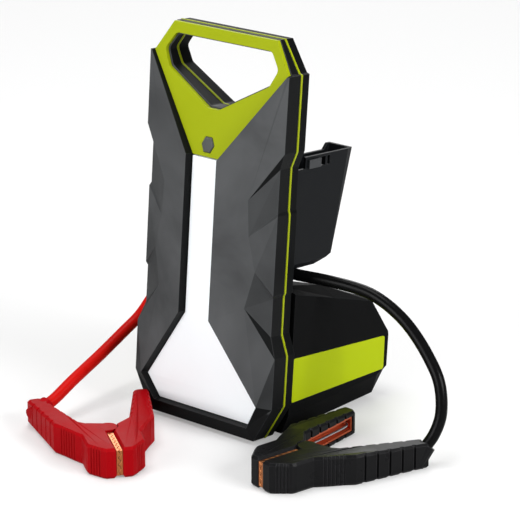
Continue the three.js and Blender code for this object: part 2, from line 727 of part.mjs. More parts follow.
// Inside of the box above its floor.
const innerRoom = () => {
  const reach = BODY_HALF + 20;
  const room = [
    [BOX_FRONT - 8, under(BOX_FRONT, BASE + 1.4)],
    [BOX_REAR + 8, under(BOX_REAR, BASE + 1.4)],
    [BOX_REAR + 8, 200],
    [BOX_FRONT - 8, 200],
  ];
  return solid(prism("x", room, -reach, reach));
};

function baseCover() {
  const band = solid(prism("x", baseBand(0, BASE), -BODY_HALF, BODY_HALF));
  let cover = band.intersect(solid(prism("z", rounded(mirrored(baseRight), 5), -20, 60)));
  for (const side of [-1, 1]) {
    for (const [x, y] of FEET) cover = cover.subtract(foot(side * x, y, GAP));
    for (const [x, y] of BASE_SCREWS) {
      const to = FOOT_HEIGHT + SCREW_DEEP + GAP;
      cover = cover.subtract(level(rod("z", SCREW_RADIUS + GAP, -5, to, planAt(side * x, y))));
    }
  }
  return cover;
}

const baseScrew = (x, y) => {
  const spot = planAt(x, y);
  const [low, high] = [FOOT_HEIGHT + GAP, FOOT_HEIGHT + SCREW_DEEP];
  const slot = block([spot[0] - 2, spot[0] + 2], [spot[1] - 0.4, spot[1] + 0.4], [low - 1, low + 0.5]);
  return level(rod("z", SCREW_RADIUS, low, high, spot, 16)).subtract(level(slot));
};

const caseScrew = (x, z) => screw("y", [REAR_FACE - 1.9, REAR_FACE - 0.4], [x, 0, z]);

// Pieces that stand square to the ground are drawn upright and turned into the leaning frame.
const upright = new THREE.Matrix4().makeRotationX(LEAN);
const level = (geometry) => solid(geometry.applyMatrix4(upright));
const planAt = (x, y) => [x, y * Math.cos(LEAN) + under(y) * Math.sin(LEAN), 0];
const foot = (x, y, grow = 0) =>
  level(
    turned(
      "z",
      [
        [0, -grow],
        [FOOT_RADIUS - 0.8 + grow, -grow],
        [FOOT_RADIUS + grow, 0.8],
        [FOOT_RADIUS + grow, FOOT_HEIGHT + FOOT_SEAT + grow],
        [0, FOOT_HEIGHT + FOOT_SEAT + grow],
      ],
      planAt(x, y),
      16,
    ),
  );

// A side panel, or with a clearance the recess that holds it.
function panel(side, grow) {
  const outline = rounded(
    inset(
      [
        [BOX_FRONT + 1.8, BOX_REAR_TOP + 1.6],
        [BOX_REAR - 4.6, BOX_REAR_TOP - 2.6],
        [BOX_REAR - 3.6, BOX_REAR_LOW + 2.2],
        [BOX_FRONT + 1.8, BOX_REAR_LOW - 0.8],
      ],
      -grow,
    ),
    PANEL_RADIUS,
  );
  const [y0, y1] = [BOX_FRONT - 10, BOX_REAR + 10];
  const out = grow ? 5 : -0.1;
  const skinBand = [
    [side * (boxHalf(y0) + out), y0],
    [side * (boxHalf(y1) + out), y1],
    [side * (boxHalf(y1) - PANEL_THICK - grow), y1],
    [side * (boxHalf(y0) - PANEL_THICK - grow), y0],
  ];
  const reach = BODY_HALF + 20;
  const cut = side > 0 ? prism("x", outline, 0, reach) : prism("x", outline, -reach, 0);
  return solid(cut).intersect(solid(prism("z", skinBand, 0, 200)));
}

const batteryPack = () => {
  const inner = BOX_HALF - BOX_TAPER - BOX_WALL - 3;
  const low = under(BOX_REAR - BOX_LOW_CHAMFER, BASE + 3);
  const high = BOX_TOP - BOX_TOP_FALL - BOX_WALL - 6;
  const front = BOX_FRONT + BOX_WALL + 1;
  let pack = solid(block([-inner, inner], [front, BOX_REAR - BOX_TOP_CHAMFER - 2], [low, high]));
  for (const side of [-1, 1]) {
    const x = [side * 30 - 5, side * 30 + 5];
    pack = pack.add(solid(block(x, [front + 4, front + 12], [high - 1, high + 4])));
  }
  return pack;
};

// ---------------------------------------------------------------------------------------------
// Clamp pockets, port and glands
// ---------------------------------------------------------------------------------------------
function clampPocket(side) {
  const front = REAR_FACE + GAP;
  const rear = REAR_FACE + POCKET_REACH;
  const foot = rear - POCKET_NARROW;
  const [inner, outer] = [POCKET_INNER, POCKET_INNER + POCKET_WIDTH];
  const span = (from, to) => (side > 0 ? [from, to] : [-to, -from]);
  // Side outline of the pocket, or of its inside, which runs on through the open top.
  const profile = (wall) => {
    const above = wall ? 20 : 0;
    const slope = POCKET_NARROW / (POCKET_HEIGHT - POCKET_BOTTOM);
    return [
      [front + wall, POCKET_HEIGHT + above],
      [rear - wall + above * slope, POCKET_HEIGHT + above],
      [foot - wall, POCKET_BOTTOM + 6.5 + wall * 0.4],
      [foot - 16 - wall * 0.4, POCKET_BOTTOM + wall],
      [front + wall, POCKET_BOTTOM + wall],
    ];
  };
  let shell = solid(prism("x", profile(0), ...span(inner, outer)));
  // Bevels on the outer wall: one down its rear edge, tapering to nothing, and one along its foot.
  const corner = (y, z, x, back) => [
    [side * (outer + 1), y - back, z],
    [side * outer, y - back, z],
    [side * (outer - x), y, z],
    [side * (outer - x), y + 6, z],
    [side * (outer + 1), y + 6, z],
  ];
  const rearEdge = [
    corner(foot, POCKET_BOTTOM + 4, 0.1, 0.1),
    corner(rear + 0.6, POCKET_HEIGHT + 2, 1.8, 7),
  ];
  shell = shell.subtract(solid(skin(side > 0 ? rearEdge.map((l) => [...l].reverse()) : rearEdge)));
  const footEdge = [
    [side * (outer - 3), POCKET_BOTTOM - 1],
    [side * (outer - 3), POCKET_BOTTOM],
    [side * outer, POCKET_BOTTOM + 4.2],
    [side * (outer + 1), POCKET_BOTTOM + 4.2],
    [side * (outer + 1), POCKET_BOTTOM - 1],
  ];
  shell = shell.subtract(solid(prism("y", footEdge, front - 1, rear)));
  const hollow = span(inner + POCKET_WALL, outer - POCKET_WALL);
  shell = shell.subtract(solid(prism("x", profile(POCKET_WALL), ...hollow)));
  // The inner wall is cut lower in front of the rear corner.
  const dip = [
    [front - 1, POCKET_HEIGHT + 1],
    [rear - 4, POCKET_HEIGHT + 1],
    [rear - 9, POCKET_HEIGHT - 4.5],
    [front - 1, POCKET_HEIGHT - 4.5],
  ];
  shell = shell.subtract(solid(prism("x", dip, ...span(inner - 1, inner + POCKET_WALL + 0.2))));
  // The outer wall is cut away beside the shell, and slotted behind the tab.
  const outside = span(outer - POCKET_WALL - 0.4, outer + 1);
  const notch = [front - 1, REAR_FACE + POCKET_TAB[0] - 2.5];
  shell = shell.subtract(solid(block(outside, notch, [POCKET_HEIGHT - 8.5, POCKET_HEIGHT + 1])));
  for (const [from, to] of POCKET_SLOTS)
    shell = shell.subtract(
      solid(
        block(
          outside,
          [REAR_FACE + from, REAR_FACE + to],
          [POCKET_HEIGHT - 8.5, POCKET_HEIGHT - 1.8],
        ),
      ),
    );
  return shell;
}

const pocketTab = (side) => {
  const outer = POCKET_INNER + POCKET_WIDTH + GAP;
  const x = side > 0 ? [outer, outer + 1.4] : [-outer - 1.4, -outer];
  const y = POCKET_TAB.map((at) => REAR_FACE + at);
  return solid(block(x, y, [POCKET_HEIGHT - 8.6, POCKET_HEIGHT - 2.2]));
};

const PORT_REAR = REAR_FACE + PORT_PROUD;
function portBlock() {
  let body = solid(
    block(
      [-PORT_HALF, PORT_HALF],
      [REAR_FACE - 7, PORT_REAR],
      [PORT_HEIGHT - PORT_TALL / 2, PORT_HEIGHT + PORT_TALL / 2],
    ),
  );
  body = body.subtract(solid(rod("y", 4, PORT_REAR - 7, PORT_REAR + 1, [-10, 0, PORT_HEIGHT])));
  body = body.add(solid(rod("y", 1, PORT_REAR - 8, PORT_REAR - 1, [-10, 0, PORT_HEIGHT], 10)));
  const usb = block([1, 14.4], [PORT_REAR - 7.5, PORT_REAR + 1], [PORT_HEIGHT - 3, PORT_HEIGHT + 3]);
  body = body.subtract(solid(usb));
  return body.add(
    solid(block([2.4, 13], [PORT_REAR - 8, PORT_REAR - 1], [PORT_HEIGHT - 0.2, PORT_HEIGHT + 1.8])),
  );
}
const COVER_HINGE = [0, PORT_REAR + GAP + COVER / 2, PORT_HEIGHT + PORT_TALL / 2 + 2];
function portCover() {
  const y = [PORT_REAR + GAP, PORT_REAR + GAP + COVER];
  const under = PORT_HEIGHT - PORT_TALL / 2;
  const outline = mirrored([[PORT_HALF + 1, COVER_HINGE[2]], [PORT_HALF + 1, under - 1]]);
  const lid = solid(prism("y", rounded(outline, 2.5), ...y));
  const barrel = solid(rod("x", 1.3, -PORT_HALF + 2, PORT_HALF - 2, COVER_HINGE, 12));
  const lip = solid(block([-5, 5], [y[0] + 0.5, y[1] + 1.4], [under - 2.4, under + 0.4]));
  return lid.add(barrel).add(lip);
}

// A place on a boot's middle line, at a distance from its flange, and the line's heading there.
function bootAt(side, along) {
  const angle = (BOOT_BEND * Math.min(along, BOOT_LENGTH)) / BOOT_LENGTH;
  const radius = BOOT_LENGTH / BOOT_BEND;
  const heading = new THREE.Vector3(side * Math.sin(angle), Math.cos(angle), 0);
  const out = GLAND_X + radius * (1 - Math.cos(angle));
  const at = new THREE.Vector3(side * out, REAR_FACE + GLAND_FLANGE + radius * Math.sin(angle), GLAND_Z);
  return { at: at.addScaledVector(heading, Math.max(0, along - BOOT_LENGTH)), heading };
}

// A gland: its root in the rear shell, a flange, and a ribbed boot that tapers to the lead.
function gland(side) {
  const root = turned(
    "y",
    [
      [0, REAR_FACE - SHELL_WALL - 2],
      [GLAND_ROOT - 1, REAR_FACE - SHELL_WALL - 2],
      [GLAND_ROOT - 1, REAR_FACE + GAP],
      [GLAND_ROOT + 1, REAR_FACE + GAP],
      [GLAND_ROOT + 1, REAR_FACE + 2.4],
      [LEAD_RADIUS + 2, REAR_FACE + GLAND_FLANGE],
      [0, REAR_FACE + GLAND_FLANGE],
    ],
    [side * GLAND_X, 0, GLAND_Z],
    20,
  );
  const loops = [];
  for (let i = 0; i <= BOOT_RINGS; i++) {
    const share = i / BOOT_RINGS;
    const { at, heading } = bootAt(side, share * BOOT_LENGTH - (i ? 0 : 0.8));
    const radius = LEAD_RADIUS + 2 - share + (i % 2 ? -0.7 : 0);
    const across = new THREE.Vector3(heading.y, -heading.x, 0);
    const ring = [];
    for (let k = 0; k < 16; k++) {
      const turn = (k / 16) * Math.PI * 2;
      const point = at.clone().addScaledVector(across, radius * Math.cos(turn));
      ring.push([point.x, point.y, point.z - radius * Math.sin(turn)]);
    }
    loops.push(ring);
  }
  return solid(root).add(solid(skin(loops)));
}

// ---------------------------------------------------------------------------------------------
// Clamps
// ---------------------------------------------------------------------------------------------
// Outer and inner edge of an arm at a distance from the nose, behind the jaw.
const THROAT = [PIVOT_X + 3.5, 6.4];
const outerAt = (x) => {
  const flare = (GRIP_OUTER - NOSE_HALF) / (GRIP_START - FLARE_START);
  return GRIP_OUTER + (x - GRIP_START) * (x < GRIP_START ? flare : Math.tan(OUTER_SPREAD));
};
const innerAt = (x) => {
  const flare = (GRIP_INNER - THROAT[1]) / (GRIP_START - THROAT[0]);
  return GRIP_INNER + (x - GRIP_START) * (x < GRIP_START ? flare : Math.tan(INNER_SPREAD));
};

// Outline of one moulded arm: nose, ribbed flare, then a grip with grooves to the tail.
// rib and groove are how deep those cut in.
function armOutline(side, length, rib, groove) {
  const ribs = (from, to, y0, y1, count) => {
    const points = [];
    const [dx, dy] = new THREE.Vector2(to - from, y1 - y0).normalize().toArray();
    for (let i = 0; i < count; i++) {
      const x = from + ((to - from) * (i + 0.5)) / count;
      const y = y0 + ((y1 - y0) * (i + 0.5)) / count;
      for (const [along, deep] of [[-0.8, 0], [-0.4, rib], [0.4, rib], [0.8, 0]])
        points.push([x + along * dx + deep * dy, y + along * dy - deep * dx]);
    }
    return points;
  };
  const outer = [];
  const inner = [];
  for (let x = GRIP_START + SEGMENT * 0.7; x < length - 4; x += SEGMENT) {
    const step = [[x - 1.1, 0], [x - 0.5, groove], [x + 0.5, groove], [x + 1.1, 0]];
    outer.push(...step.map(([p, d]) => [p, outerAt(p) - d]));
    inner.push(...step.map(([p, d]) => [p, innerAt(p) + d]));
  }
  const points = [
    [0.4, NOSE_INNER],
    [0, NOSE_INNER + 1.5],
    [0, NOSE_HALF / 2 - 1],
    [2, NOSE_HALF / 2 + 1.4],
    ...ribs(3, 10.6, NOSE_HALF / 2 + 2.3, NOSE_HALF - 2, 4),
    [12.4, NOSE_HALF - 0.6],
    [15.5, NOSE_HALF],
    [FLARE_START, NOSE_HALF + 0.2],
    ...ribs(FLARE_START + 5, GRIP_START - 6, NOSE_HALF + 3.5, GRIP_OUTER - 3.9, 6),
    [GRIP_START, GRIP_OUTER],
    ...outer,
    [length - 2, outerAt(length - 2)],
    [length, outerAt(length) - 2.5],
    [length + 0.6, innerAt(length) + 3],
    [length - 1.4, innerAt(length - 1.4)],
    ...inner.reverse(),
    [GRIP_START, GRIP_INNER],
    THROAT,
    [PIVOT_X - 9, NOSE_INNER],
  ];
  return points.map(([x, y]) => [x, side * y]);
}

// A moulded arm with bevelled upper and lower edges.
function armBody(side, length) {
  const outline = armOutline(side, length, RIB, GROOVE);
  const small = inset(armOutline(side, length, RIB * 0.1, GROOVE * 0.6), GRIP_BEVEL * 0.7);
  const along = (x) => THREE.MathUtils.clamp((x - GRIP_START) / (length - GRIP_START), 0, 1);
  const slim = (x) => 1 - TAIL_SLIM * along(x);
  const at = (points, z) => points.map(([x, y]) => [x, y, z * slim(x)]);
  const loops = [
    at(small, 0),
    at(outline, GRIP_BEVEL),
    at(outline, CLAMP_HEIGHT - GRIP_BEVEL),
    at(small, CLAMP_HEIGHT),
  ];
  return solid(skin(side > 0 ? loops.map((l) => [...l].reverse()) : loops));
}

// Heights of each arm's two ears on the pin, with the spring's coil between the inner pair.
const EARS = {
  cable: [[1.6, 4.8], [18.2, CLAMP_HEIGHT - 0.4]],
  lever: [[5.2, 8.4], [14.6, 17.8]],
};
const PIN_TOP = EARS.cable[1][0] + 2.4; // the pin is blind in the upper ear
const PIVOT = [PIVOT_X, 0, 0];

// The ears of one arm are round plates on the pin; the other arm is hollowed to clear them.
function withEars(body, kind, side) {
  let made = body.subtract(solid(rod("z", KNUCKLE + 0.6, -1, CLAMP_HEIGHT + 1, PIVOT, 24)));
  for (const [low, high] of EARS[kind]) {
    made = made.add(solid(rod("z", KNUCKLE, low, high, PIVOT, 24)));
    const web = [
      [PIVOT_X - KNUCKLE, 0],
      [PIVOT_X + KNUCKLE - 1, 0],
      [PIVOT_X + KNUCKLE + 3, side * 14],
      [PIVOT_X - KNUCKLE - 2, side * 14],
    ];
    made = made.add(solid(prism("z", web, low, high)));
  }
  return made.subtract(solid(rod("z", PIN_RADIUS + 0.1, -1, PIN_TOP + GAP, PIVOT)));
}

// The open channel of the lever arm.
function channel(side, start, wall, lip) {
  const to = LEVER_ARM - 1 - wall;
  const places = start < GRIP_START ? [start, GRIP_START, to] : [start, to];
  const points = [
    ...places.map((x) => [x, outerAt(x) - wall]),
    ...places.reverse().map((x) => [x, innerAt(x) - lip]),
  ];
  return points.map(([x, y]) => [x, side * y]);
}

function cableGrip(side, exit) {
  let body = withEars(armBody(side, CABLE_ARM), "cable", side);
  const collar = [[0, -16], [LEAD_RADIUS + 3, -16], [LEAD_RADIUS + 2.2, 0], [0, 0]];
  const room = [[0, 0], [LEAD_RADIUS + 1, 0], [LEAD_RADIUS + 1, 14], [0, 14]];
  const up = new THREE.Vector3(0, 0, 1);
  const turn = new THREE.Quaternion().setFromUnitVectors(up, exit.way);
  const [boss, clear] = [collar, room].map((outline) => {
    const made = turned("z", outline, [0, 0, 0], 16);
    return solid(made.applyQuaternion(turn).translate(...exit.at));
  });
  const keep = solid(block([0, 200], [-100, 100], [0, CLAMP_HEIGHT + 40]));
  return body.add(boss.intersect(keep)).subtract(clear);
}
function leverGrip(side) {
  const hollow = solid(prism("z", channel(side, PIVOT_X + 5, CHANNEL_WALL, 6), ...CHANNEL));
  return withEars(armBody(side, LEVER_ARM).subtract(hollow), "lever", side);
}
function leverLiner(side) {
  const [low, high] = [CHANNEL[0] + GAP, CHANNEL[1] - GAP];
  const start = GRIP_START + 4;
  const outside = channel(side, start, CHANNEL_WALL + GAP, -1);
  const inside = channel(side, start - 6, CHANNEL_WALL + GAP + LINER_WALL, 6);
  return solid(prism("z", outside, low, high)).subtract(
    solid(prism("z", inside, low + LINER_WALL, high - LINER_WALL)),
  );
}

// A toothed jaw bar. Both jaws share one field of pyramids, so the teeth mesh.
function jawBar(side) {
  const [x0, x1, z0, z1] = [0.6, PIVOT_X - KNUCKLE - 1.4, 2, CLAMP_HEIGHT - 2];
  const [nx, nz] = [13, 7];
  const back = side * (NOSE_INNER - GAP);
  const at = (i, j, deep) => {
    const x = x0 + ((x1 - x0) * i) / nx;
    const z = z0 + ((z1 - z0) * j) / nz;
    const tooth = ((i + j) % 2 ? 1 : -1) * TOOTH;
    return [x, deep ? back : side * 0.35 + tooth, z];
  };
  const corners = [];
  const tri = (a, b, c) => corners.push(...(side > 0 ? [a, b, c] : [a, c, b]).flat());
  for (let i = 0; i < nx; i++)
    for (let j = 0; j < nz; j++) {
      const [a, b, c, d] = [at(i, j), at(i + 1, j), at(i + 1, j + 1), at(i, j + 1)];
      tri(a, b, c);
      tri(a, c, d);
      const [p, q, r, s] = [at(i, j, 1), at(i + 1, j, 1), at(i + 1, j + 1, 1), at(i, j + 1, 1)];
      tri(p, r, q);
      tri(p, s, r);
    }
  for (let i = 0; i < nx; i++) {
    tri(at(i, 0), at(i, 0, 1), at(i + 1, 0));
    tri(at(i + 1, 0), at(i, 0, 1), at(i + 1, 0, 1));
    tri(at(i, nz), at(i + 1, nz), at(i, nz, 1));
    tri(at(i + 1, nz), at(i + 1, nz, 1), at(i, nz, 1));
  }
  for (let j = 0; j < nz; j++) {
    tri(at(0, j), at(0, j + 1), at(0, j, 1));
    tri(at(0, j + 1), at(0, j + 1, 1), at(0, j, 1));
    tri(at(nx, j), at(nx, j, 1), at(nx, j + 1));
    tri(at(nx, j + 1), at(nx, j, 1), at(nx, j + 1, 1));
  }
  const made = new THREE.BufferGeometry();
  made.setAttribute("position", new THREE.Float32BufferAttribute(corners, 3));
  return solid(made);
}

// The pin goes in from below, and its head bears on the lower ear.
const pivotPin = () => {
  const low = EARS.cable[0][0] - GAP;
  const head = PIN_RADIUS + 1.8;
  const profile = [
    [0, low - 1],
    [head - 0.5, low - 1],
    [head, low],
    [PIN_RADIUS, low],
    [PIN_RADIUS, PIN_TOP],
    [0, PIN_TOP],
  ];
  return solid(turned("z", profile, PIVOT, 20));
};

// The torsion spring: a coil on the pin, with its long leg in the lever's channel.
function clampSpring(side) {
  const turns = 2.3;
  const radius = PIN_RADIUS + WIRE + 0.8;
  const steps = 20;
  const [low, high] = [EARS.lever[0][1] + WIRE + GAP, EARS.lever[1][0] - WIRE - GAP];
  const points = [];
  for (let i = 0; i <= steps; i++) {
    const angle = side * (-2.2 + (i / steps) * turns * Math.PI * 2);
    const height = low + ((high - low) * i) / steps;
    points.push(new THREE.Vector3(PIVOT_X + radius * Math.cos(angle), radius * Math.sin(angle), height));
  }
  // The leg follows the channel's open side and hooks across it near the tail.
  const middle = (CHANNEL[0] + CHANNEL[1]) / 2;
  const leg = (x, over) => new THREE.Vector3(x, side * (innerAt(x) + over), middle);
  points.push(new THREE.Vector3(PIVOT_X + 8, side * 11, high), leg(GRIP_START + 4, 2.6));
  points.push(leg(GRIP_START + 28, 1.4), leg(LEVER_ARM - 10, 1.6));
  points.push(leg(LEVER_ARM - 7.4, 4), leg(LEVER_ARM - 7, 7));
  const path = new THREE.CatmullRomCurve3(points, false, "centripetal");
  const section = new THREE.Shape();
  section.absarc(0, 0, WIRE, 0, Math.PI * 2);
  const options = { steps: 52, extrudePath: path, curveSegments: 3, bevelEnabled: false };
  return solid(new THREE.ExtrudeGeometry(section, options));
}

function clamp(name, material, side, exit) {
  const group = new THREE.Group();
  group.add(
    meshOf(name + "_cable_grip", cableGrip(side, exit), material),
    meshOf(name + "_lever_grip", leverGrip(-side), material),
    meshOf(name + "_lever_liner", leverLiner(-side), LINER),
    meshOf(name + "_cable_jaw", jawBar(side), COPPER),
    meshOf(name + "_lever_jaw", jawBar(-side), COPPER),
    meshOf(name + "_pivot_pin", pivotPin(), STEEL),
    meshOf(name + "_spring", clampSpring(-side), STEEL),
  );
  return group;
}

// ---------------------------------------------------------------------------------------------
// Assembly
// ---------------------------------------------------------------------------------------------
const pack = new THREE.Group();
pack.rotation.x = -LEAN;
pack.add(
  meshOf("front_shell", frontShell(), BLACK),
  meshOf("seam_trim", seamTrim(), LIME),
  meshOf("rear_shell", rearShell(), BLACK),
  meshOf("handle_plate", handlePlate(), LIME),
  meshOf("lamp_lens", lampLens(), DIFFUSER),
  meshOf("led_board", ledBoard(), DIFFUSER),
  meshOf("power_button", powerButton(), GREY),
  meshOf("button_switch", buttonSwitch(), BOARD_GREEN),
  meshOf("control_board", controlBoard(), BOARD_GREEN),
  meshOf("battery_housing", batteryHousing(), BLACK),
  meshOf("base_cover", baseCover(), BLACK),
  meshOf("battery_pack", batteryPack(), BATTERY),
  meshOf("port_block", portBlock(), GREY),
  meshOf("port_cover", portCover(), RUBBER),
);
for (const [name, side] of [["left", -1], ["right", 1]]) {
  pack.add(
    meshOf("side_panel_" + name, panel(side, 0), LIME),
    meshOf("clamp_pocket_" + name, clampPocket(side), BLACK),
    meshOf("pocket_tab_" + name, pocketTab(side), GREY),
    meshOf("cable_gland_" + name, gland(side), RUBBER),
  );
  FEET.forEach(([x, y], i) => pack.add(meshOf(`foot_${name}_${i + 1}`, foot(side * x, y), RUBBER)));
  BASE_SCREWS.forEach(([x, y], i) =>
    pack.add(meshOf(`base_screw_${name}_${i + 1}`, baseScrew(side * x, y), STEEL)));
  SCREW_SPOTS.forEach(([x, z], i) =>
    pack.add(meshOf(`case_screw_${name}_${i + 1}`, caseScrew(side * x, z), STEEL)),
  );
}
const box = new THREE.Box3().setFromObject(pack, true);
pack.position.y = -(box.min.y + box.max.y) / 2;

const starter = new THREE.Group();
starter.add(pack);
const direction = (x, y, z) => new THREE.Vector3(x, y, z).normalize();
const RED_EXIT = { at: [115.5, 31, 14.5], way: direction(0.53, -0.78, 0.32) };
const BLACK_EXIT = { at: [120.2, -41, 15.5], way: direction(0.55, -0.2, 0.81) };
const redClamp = clamp("red", RED, 1, RED_EXIT);
const blackClamp = clamp("black", CLAMP_BLACK, -1, BLACK_EXIT);
redClamp.position.set(...RED_PLACE);
redClamp.rotation.z = RED_TURN;
blackClamp.position.set(...BLACK_PLACE);
blackClamp.rotation.z = BLACK_TURN;
starter.add(redClamp, blackClamp);
starter.updateMatrixWorld(true);

// A lead leaves its gland and ends in its clamp, both straight, with the route between them.
function lead(side, route, clampGroup, exit) {
  const tip = (away) => pack.localToWorld(bootAt(side, BOOT_LENGTH + away).at);
  const entry = (away) => {
    const at = exit.way.clone().multiplyScalar(away).add(new THREE.Vector3(...exit.at));
    return clampGroup.localToWorld(at);
  };
  const middle = route.map((p) => new THREE.Vector3(...p));
  const points = [tip(GAP), tip(LEAD_RADIUS * 2), ...middle, entry(LEAD_RADIUS * 2), entry(GAP)];
  const path = new THREE.CatmullRomCurve3(points, false, "centripetal");
  const section = new THREE.Shape();
  section.absarc(0, 0, LEAD_RADIUS, 0, Math.PI * 2);
  const options = { steps: LEAD_STEPS, extrudePath: path, curveSegments: 5, bevelEnabled: false };
  return solid(new THREE.ExtrudeGeometry(section, options));
}
starter.add(
  meshOf("red_cable", lead(-1, RED_ROUTE, redClamp, RED_EXIT), RED),
  meshOf("black_cable", lead(1, BLACK_ROUTE, blackClamp, BLACK_EXIT), CLAMP_BLACK),
);

export default starter;
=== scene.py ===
import bpy
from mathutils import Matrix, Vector


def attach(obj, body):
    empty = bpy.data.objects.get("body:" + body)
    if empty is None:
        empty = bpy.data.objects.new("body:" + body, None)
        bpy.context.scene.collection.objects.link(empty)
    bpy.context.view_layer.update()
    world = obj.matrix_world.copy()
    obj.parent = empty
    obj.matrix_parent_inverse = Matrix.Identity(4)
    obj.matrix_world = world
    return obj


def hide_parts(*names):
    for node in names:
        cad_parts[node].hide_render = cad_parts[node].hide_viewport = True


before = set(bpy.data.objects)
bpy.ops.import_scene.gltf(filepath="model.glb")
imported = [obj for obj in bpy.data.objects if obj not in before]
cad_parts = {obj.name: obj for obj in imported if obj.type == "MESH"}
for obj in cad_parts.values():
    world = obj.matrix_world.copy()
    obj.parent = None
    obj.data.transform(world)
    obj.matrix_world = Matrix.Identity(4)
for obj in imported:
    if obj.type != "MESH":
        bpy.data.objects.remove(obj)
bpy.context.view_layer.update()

# ---------------------------------------------------------------------------------------------
# Camera
# A long lens stands to the right of the lamp face, well above the handle, and looks slightly
# down, so that the pack, both leads and both clamps are all in the picture.
# ---------------------------------------------------------------------------------------------
LENS_MM = 180
STANDS_AT = Vector((1.1759, -1.4114, 0.7349))
LOOKS_AT = Vector((0.0576, -0.07125, 0.1459))

view = bpy.data.objects.new("camera", bpy.data.cameras.new("camera"))
view.data.lens = LENS_MM
view.location = STANDS_AT
view.rotation_euler = (LOOKS_AT - STANDS_AT).to_track_quat("-Z", "Y").to_euler()
bpy.context.scene.collection.objects.link(view)
bpy.context.scene.camera = view

# ---------------------------------------------------------------------------------------------
# Leads
# Two fixed lengths of fine-stranded copper in a soft round jacket, one red and one black. Each is
# crimped inside the lamp body, leaves through its own boot and is crimped again in its clamp.
# ---------------------------------------------------------------------------------------------
LEAD_ACROSS = 0.0088
LEAD_STEPS = 9  # points drawn from one point of a route to the next
LEAD_ROUNDNESS = 7  # extra cuts in each half of a lead's outline
STRAIGHT = 0.0085  # a lead runs straight this far out of a boot or a clamp
BOOT_MOUTH = Vector((0.02772, -0.01746, 0.11631))
BOOT_WAY = Vector((0.837, 0.147, -0.013)).normalized()
RED_ROUTE = (
    (-0.0465, -0.0144, 0.1143), (-0.0585, -0.0106, 0.1103), (-0.0705, -0.0078, 0.1028),
    (-0.081, -0.009, 0.092), (-0.089, -0.0136, 0.079), (-0.0936, -0.0216, 0.066),
    (-0.096, -0.0315, 0.0555), (-0.0975, -0.046, 0.0475), (-0.098, -0.061, 0.0405),
    (-0.0972, -0.076, 0.035), (-0.096, -0.092, 0.03), (-0.0948, -0.109, 0.0245),
)
RED_MOUTH = Vector((-0.09438, -0.13469, 0.0146))
RED_WAY = Vector((0.021, 0.804, 0.273)).normalized()
RED_LENGTH = 0.2203
BLACK_ROUTE = (
    (0.047, -0.0142, 0.1153), (0.062, -0.01, 0.1146), (0.078, -0.0062, 0.1136),
    (0.092, -0.0034, 0.1122), (0.1035, -0.0019, 0.1102), (0.1135, -0.0014, 0.107),
    (0.1235, -0.0012, 0.1025), (0.1345, -0.0012, 0.0958), (0.145, -0.0015, 0.087),
    (0.1566, -0.003, 0.0755), (0.168, -0.0056, 0.0615), (0.1727, -0.0077, 0.0485),
    (0.174, -0.0102, 0.035),
)
BLACK_MOUTH = Vector((0.16927, -0.01888, 0.01574))
BLACK_WAY = Vector((0.256, 0.427, 0.689)).normalized()
BLACK_LENGTH = 0.2103


def smooth_line(points, steps):
    """The points of one smooth line through the given ones, with no overshoot at uneven gaps."""
    ends = [2 * points[0] - points[1], *points, 2 * points[-1] - points[-2]]
    line = []
    for before, start, end, after in zip(ends, ends[1:], ends[2:], ends[3:]):
        pairs = (before, start), (start, end), (end, after)
        gap_a, gap_b, gap_c = [(far - near).length ** 0.5 for near, far in pairs]
        leave = (start - before) / gap_a - (end - before) / (gap_a + gap_b) + (end - start) / gap_b
        arrive = (end - start) / gap_b - (after - start) / (gap_b + gap_c) + (after - end) / gap_c
        leave, arrive = leave * gap_b, arrive * gap_b
        for i in range(steps):
            t = i / steps
            line.append(
                start * (2 * t**3 - 3 * t**2 + 1) + leave * (t**3 - 2 * t**2 + t)
                + end * (3 * t**2 - 2 * t**3) + arrive * (t**3 - t**2)
            )
    return line + [points[-1]]


def node(tree, kind, values=None, **settings):
    """One shader node with its settings, and with plain values on the sockets that are named."""
    made = tree.nodes.new(kind)
    for key, value in settings.items():
        setattr(made, key, value)
    for socket, value in (values or {}).items():
        made.inputs[socket].default_value = value
    return made


def wire(tree, *pairs):
    """Joins each output to the input that stands beside it."""
    for source, target in pairs:
        tree.links.new(source, target)


def shader_group(name, inputs, outputs):
    """An empty shader group with number inputs, and its two end nodes."""
    tree = bpy.data.node_groups.new(name, "ShaderNodeTree")
    for socket, value in inputs.items():
        made = tree.interface.new_socket(socket, in_out="INPUT", socket_type="NodeSocketFloat")
        made.default_value = value
    for socket, kind in outputs.items():
        tree.interface.new_socket(socket, in_out="OUTPUT", socket_type=kind)
    return tree, node(tree, "NodeGroupInput"), node(tree, "NodeGroupOutput")


# Fine grain: the sand-like skin that an etched mould leaves on plastic and rubber.
PIT_SHARE = 0.55  # how much of the grain's depth is in the larger pits
grain, given, out = shader_group("fine_grain", {"Size": 0.0006}, {"Height": "NodeSocketFloat"})
place = node(grain, "ShaderNodeTexCoord")
per_metre = node(grain, "ShaderNodeMath", {0: 1.0}, operation="DIVIDE")
sand = node(grain, "ShaderNodeTexNoise", {"Detail": 3.0, "Roughness": 0.62})
pits = node(grain, "ShaderNodeTexVoronoi", {"Randomness": 1.0})
both = node(grain, "ShaderNodeMath", {1: PIT_SHARE}, operation="MULTIPLY_ADD")
wire(
    grain,
    (given.outputs["Size"], per_metre.inputs[1]),
    (place.outputs["Object"], sand.inputs["Vector"]),
    (per_metre.outputs[0], sand.inputs["Scale"]),
    (place.outputs["Object"], pits.inputs["Vector"]),
    (per_metre.outputs[0], pits.inputs["Scale"]),
    (pits.outputs["Distance"], both.inputs[0]),
    (sand.outputs["Fac"], both.inputs[2]),
    (both.outputs[0], out.inputs["Height"]),
)

